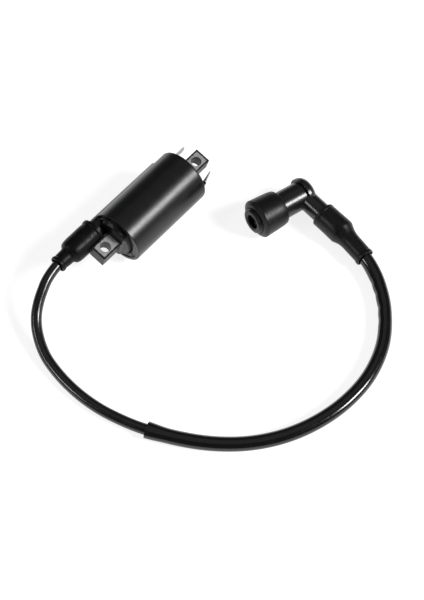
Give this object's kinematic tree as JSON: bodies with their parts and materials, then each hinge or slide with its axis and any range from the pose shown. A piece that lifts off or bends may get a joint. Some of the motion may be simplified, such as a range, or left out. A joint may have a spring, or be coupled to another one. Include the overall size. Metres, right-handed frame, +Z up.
{
  "type": "ignition coil",
  "caption": "Canister ignition coil with laminated core ears, spade terminals, a high-tension lead in a protective sleeve and a right-angle spark plug cap.",
  "frame": {"origin": "under the middle of the coil unit, on the surface that the coil, lead and cap lie on", "axes": "+X along the core from the lead end to the terminal end, +Z up from the surface, +Y towards the high-tension tower"},
  "size_m": [0.2116, 0.2066, 0.0384],
  "materials": {
    "housing_plastic": "moulded black thermoplastic, soft satin gloss",
    "black_resin": "poured black epoxy, slightly lumpy",
    "core_steel": "black enamel, bare brushed steel on the bolt faces",
    "former_nylon": "natural nylon",
    "copper": "enamelled copper wire",
    "tinned_brass": "tinned brass, dull",
    "spring_steel": "bright spring wire",
    "ceramic": "unglazed ceramic",
    "lead_rubber": "smooth semi-gloss rubber jacket",
    "sleeve_plastic": "soft vinyl sleeving, gently creased",
    "boot_rubber": "moulded rubber, satin",
    "phenolic": "polished black phenolic"
  },
  "bodies": {
    "coil": {"coil_housing": "housing_plastic", "end_cap": "black_resin", "core_lamination_1": "core_steel", "core_lamination_2": "core_steel", "core_lamination_3": "core_steel", "core_lamination_4": "core_steel", "core_lamination_5": "core_steel", "core_wrap": "former_nylon", "primary_former": "former_nylon", "primary_winding": "copper", "secondary_former": "former_nylon", "secondary_winding_1": "copper", "secondary_winding_2": "copper", "secondary_winding_3": "copper", "secondary_winding_4": "copper", "secondary_winding_5": "copper", "resin_filling": "black_resin", "terminal_blade_left": "tinned_brass", "terminal_blade_right": "tinned_brass", "primary_tail_left": "copper", "primary_tail_right": "copper", "tower_contact_spike": "tinned_brass", "tower_contact_link": "copper", "lead_jacket": "lead_rubber", "lead_conductor": "copper", "lead_sleeve": "sleeve_plastic"},
    "tower_boot": {"tower_boot": "boot_rubber"},
    "lead_boot": {"lead_boot": "boot_rubber"},
    "cap": {"cap_body": "phenolic", "cap_head_cover": "phenolic", "cap_contact_block": "tinned_brass", "cap_lead_screw": "tinned_brass", "cap_resistor": "ceramic", "cap_spring": "spring_steel", "cap_plug_socket": "tinned_brass"},
    "plug_boot": {"plug_boot": "boot_rubber"}
  },
  "joints": [
    {"name": "cap_turn", "type": "hinge", "parent": "coil", "child": "cap", "pos_m": [0.07615, -0.06705, 0.011], "axis": [-0.1399, -0.9889, -0.0506], "range_deg": [-180, 180]},
    {"name": "tower_boot_slide", "type": "slide", "parent": "coil", "child": "tower_boot", "axis": [-1, 0, 0], "range_m": [0, 0.005]},
    {"name": "lead_boot_slide", "type": "slide", "parent": "coil", "child": "lead_boot", "axis": [-0.2312, -0.9704, -0.0698], "range_m": [0, 0.005]},
    {"name": "plug_boot_slide", "type": "slide", "parent": "cap", "child": "plug_boot", "axis": [-0.9663, 0.2508, 0.0576], "range_m": [0, 0.012]}
  ]
}
